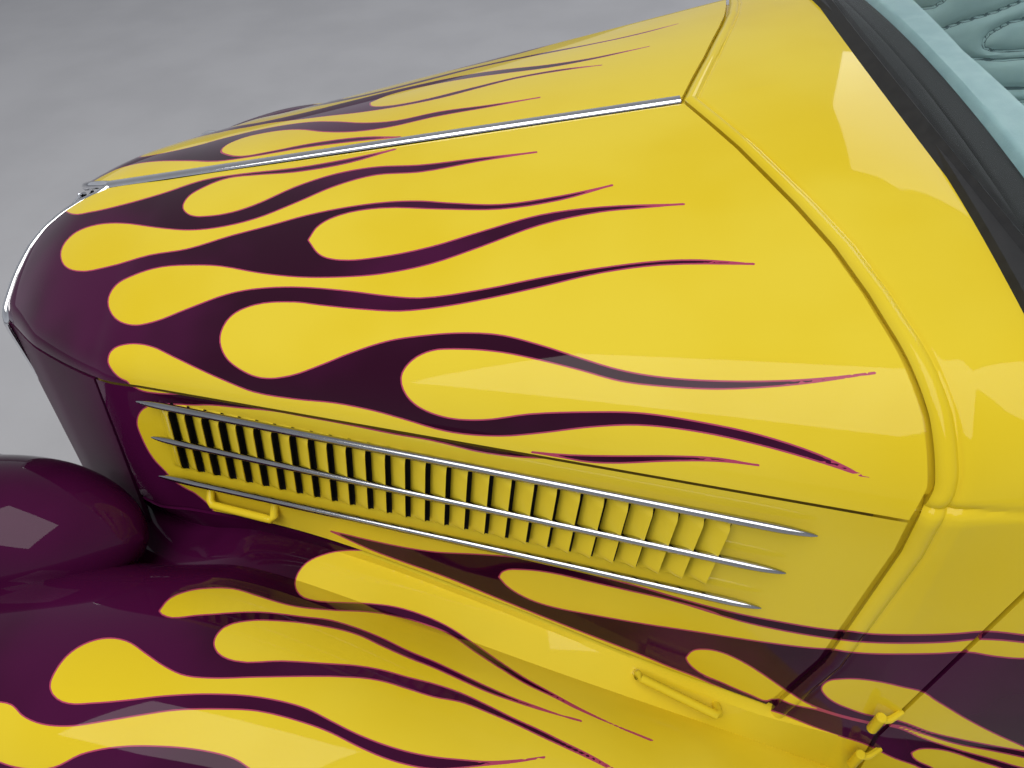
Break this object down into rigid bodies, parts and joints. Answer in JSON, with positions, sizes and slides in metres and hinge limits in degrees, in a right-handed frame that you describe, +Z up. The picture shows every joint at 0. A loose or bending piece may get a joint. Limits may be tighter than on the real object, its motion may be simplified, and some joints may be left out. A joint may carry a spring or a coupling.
{
  "type": "hot rod",
  "caption": "Open flamed hot rod roadster with a louvred butterfly hood, pontoon fenders, bullet headlamps and a bench seat.",
  "frame": {"origin": "on the ground under the middle of the car's length and width", "axes": "+X towards the tail, +Y to the car's right, +Z up"},
  "size_m": [4.25, 1.8508, 1.3908],
  "materials": {
    "yellow_paint": "high gloss enamel with dark flames",
    "dark_paint": "high gloss dark purple enamel",
    "chrome": "polished",
    "black_paint": "gloss black",
    "running_gear": "satin black",
    "steel": "machined",
    "cast_iron": "cast",
    "rubber": "matte",
    "tyre": "matte",
    "glass": "clear",
    "leather": "soft pleated hide",
    "carpet": "cut pile"
  },
  "bodies": {
    "chassis": {"body_tub": "yellow_paint", "cowl": "yellow_paint", "dashboard": "yellow_paint", "drive_shaft": "running_gear", "engine_block": "cast_iron", "exhaust": "steel", "floor": "carpet", "frame": "running_gear", "front_axle": "running_gear", "front_fender_left": "yellow_paint", "front_fender_right": "yellow_paint", "fuel_tank": "running_gear", "gearbox": "cast_iron", "grille_bars": "chrome", "grille_shell": "dark_paint", "grille_trim": "chrome", "headlamp_left": "dark_paint", "headlamp_right": "dark_paint", "hood_strip": "chrome", "radiator": "black_paint", "rear_axle": "running_gear", "rear_fender_left": "yellow_paint", "rear_fender_right": "yellow_paint", "running_board_left": "rubber", "running_board_right": "rubber", "seat_back": "leather", "seat_cushion": "leather", "steering_column": "chrome", "tail_lamps": "chrome", "windshield_frame": "rubber", "windshield_glass": "glass"},
    "knuckle_left": {"knuckle_left": "steel"},
    "knuckle_right": {"knuckle_right": "steel"},
    "tie_rod": {"tie_rod": "steel"},
    "front_wheel_left": {"wheel_front_left": "dark_paint", "tyre_front_left": "tyre"},
    "front_wheel_right": {"wheel_front_right": "dark_paint", "tyre_front_right": "tyre"},
    "rear_wheel_left": {"wheel_rear_left": "dark_paint", "tyre_rear_left": "tyre"},
    "rear_wheel_right": {"wheel_rear_right": "dark_paint", "tyre_rear_right": "tyre"},
    "steering_wheel": {"steering_wheel": "black_paint"},
    "hood_top_left": {"hood_top_left": "yellow_paint"},
    "hood_top_right": {"hood_top_right": "yellow_paint"},
    "hood_side_left": {"hood_side_left": "yellow_paint", "side_strips_left": "chrome"},
    "hood_side_right": {"hood_side_right": "yellow_paint", "side_strips_right": "chrome"},
    "door_left": {"door_left": "yellow_paint"},
    "door_right": {"door_right": "yellow_paint"},
    "deck_lid": {"deck_lid": "yellow_paint"}
  },
  "joints": [
    {"name": "steer_left", "type": "hinge", "parent": "chassis", "child": "knuckle_left", "pos_m": [-1.555, -0.59, 0.32], "axis": [0, 0, 1], "range_deg": [-30, 30]},
    {"name": "front_wheel_left_roll", "type": "hinge", "parent": "knuckle_left", "child": "front_wheel_left", "pos_m": [-1.555, -0.712, 0.32], "axis": [0, 1, 0], "continuous": true},
    {"name": "rear_wheel_left_roll", "type": "hinge", "parent": "chassis", "child": "rear_wheel_left", "pos_m": [1.29, -0.716, 0.36], "axis": [0, 1, 0], "continuous": true},
    {"name": "hood_top_left_lift", "type": "hinge", "parent": "chassis", "child": "hood_top_left", "pos_m": [-1.085, -0.016, 1.04325], "axis": [-0.9931, 0, -0.1174], "range_deg": [0, 55]},
    {"name": "hood_side_left_fold", "type": "hinge", "parent": "hood_top_left", "child": "hood_side_left", "pos_m": [-1.015, -0.50796, 0.91421], "axis": [0.9664, -0.251, 0.0554], "range_deg": [0, 55]},
    {"name": "door_left_swing", "type": "hinge", "parent": "chassis", "child": "door_left", "pos_m": [-0.484, -0.7162, 0.55], "axis": [0, -0.129, -0.9917], "range_deg": [0, 65]},
    {"name": "steer_right", "type": "hinge", "parent": "chassis", "child": "knuckle_right", "pos_m": [-1.555, 0.59, 0.32], "axis": [0, 0, 1], "range_deg": [-30, 30]},
    {"name": "front_wheel_right_roll", "type": "hinge", "parent": "knuckle_right", "child": "front_wheel_right", "pos_m": [-1.555, 0.712, 0.32], "axis": [0, 1, 0], "continuous": true},
    {"name": "rear_wheel_right_roll", "type": "hinge", "parent": "chassis", "child": "rear_wheel_right", "pos_m": [1.29, 0.716, 0.36], "axis": [0, 1, 0], "continuous": true},
    {"name": "hood_top_right_lift", "type": "hinge", "parent": "chassis", "child": "hood_top_right", "pos_m": [-1.085, 0.016, 1.04325], "axis": [0.9931, 0, 0.1174], "range_deg": [0, 55]},
    {"name": "hood_side_right_fold", "type": "hinge", "parent": "hood_top_right", "child": "hood_side_right", "pos_m": [-1.015, 0.50796, 0.91421], "axis": [-0.9664, -0.251, -0.0554], "range_deg": [0, 55]},
    {"name": "door_right_swing", "type": "hinge", "parent": "chassis", "child": "door_right", "pos_m": [-0.484, 0.7162, 0.55], "axis": [0, -0.129, 0.9917], "range_deg": [0, 65]},
    {"name": "tie_rod_swing", "type": "hinge", "parent": "knuckle_left", "child": "tie_rod", "pos_m": [-1.405, -0.59, 0.232], "axis": [0, 0, 1], "range_deg": [-30, 30]},
    {"name": "steering_wheel_turn", "type": "hinge", "parent": "chassis", "child": "steering_wheel", "pos_m": [-0.03, -0.36, 1.01], "axis": [0.8838, 0, 0.4679], "range_deg": [-450, 450]},
    {"name": "deck_lid_lift", "type": "hinge", "parent": "chassis", "child": "deck_lid", "pos_m": [0.892, 0, 1.07399], "axis": [0, -1, 0], "range_deg": [0, 50]}
  ],
  "couplings": [
    {"joint": "steer_right", "follows": "steer_left", "ratio": 1},
    {"joint": "tie_rod_swing", "follows": "steer_left", "ratio": -1},
    {"joint": "steering_wheel_turn", "follows": "steer_left", "ratio": 15},
    {"joint": "hood_side_left_fold", "follows": "hood_top_left_lift", "ratio": 1},
    {"joint": "hood_side_right_fold", "follows": "hood_top_right_lift", "ratio": 1}
  ]
}
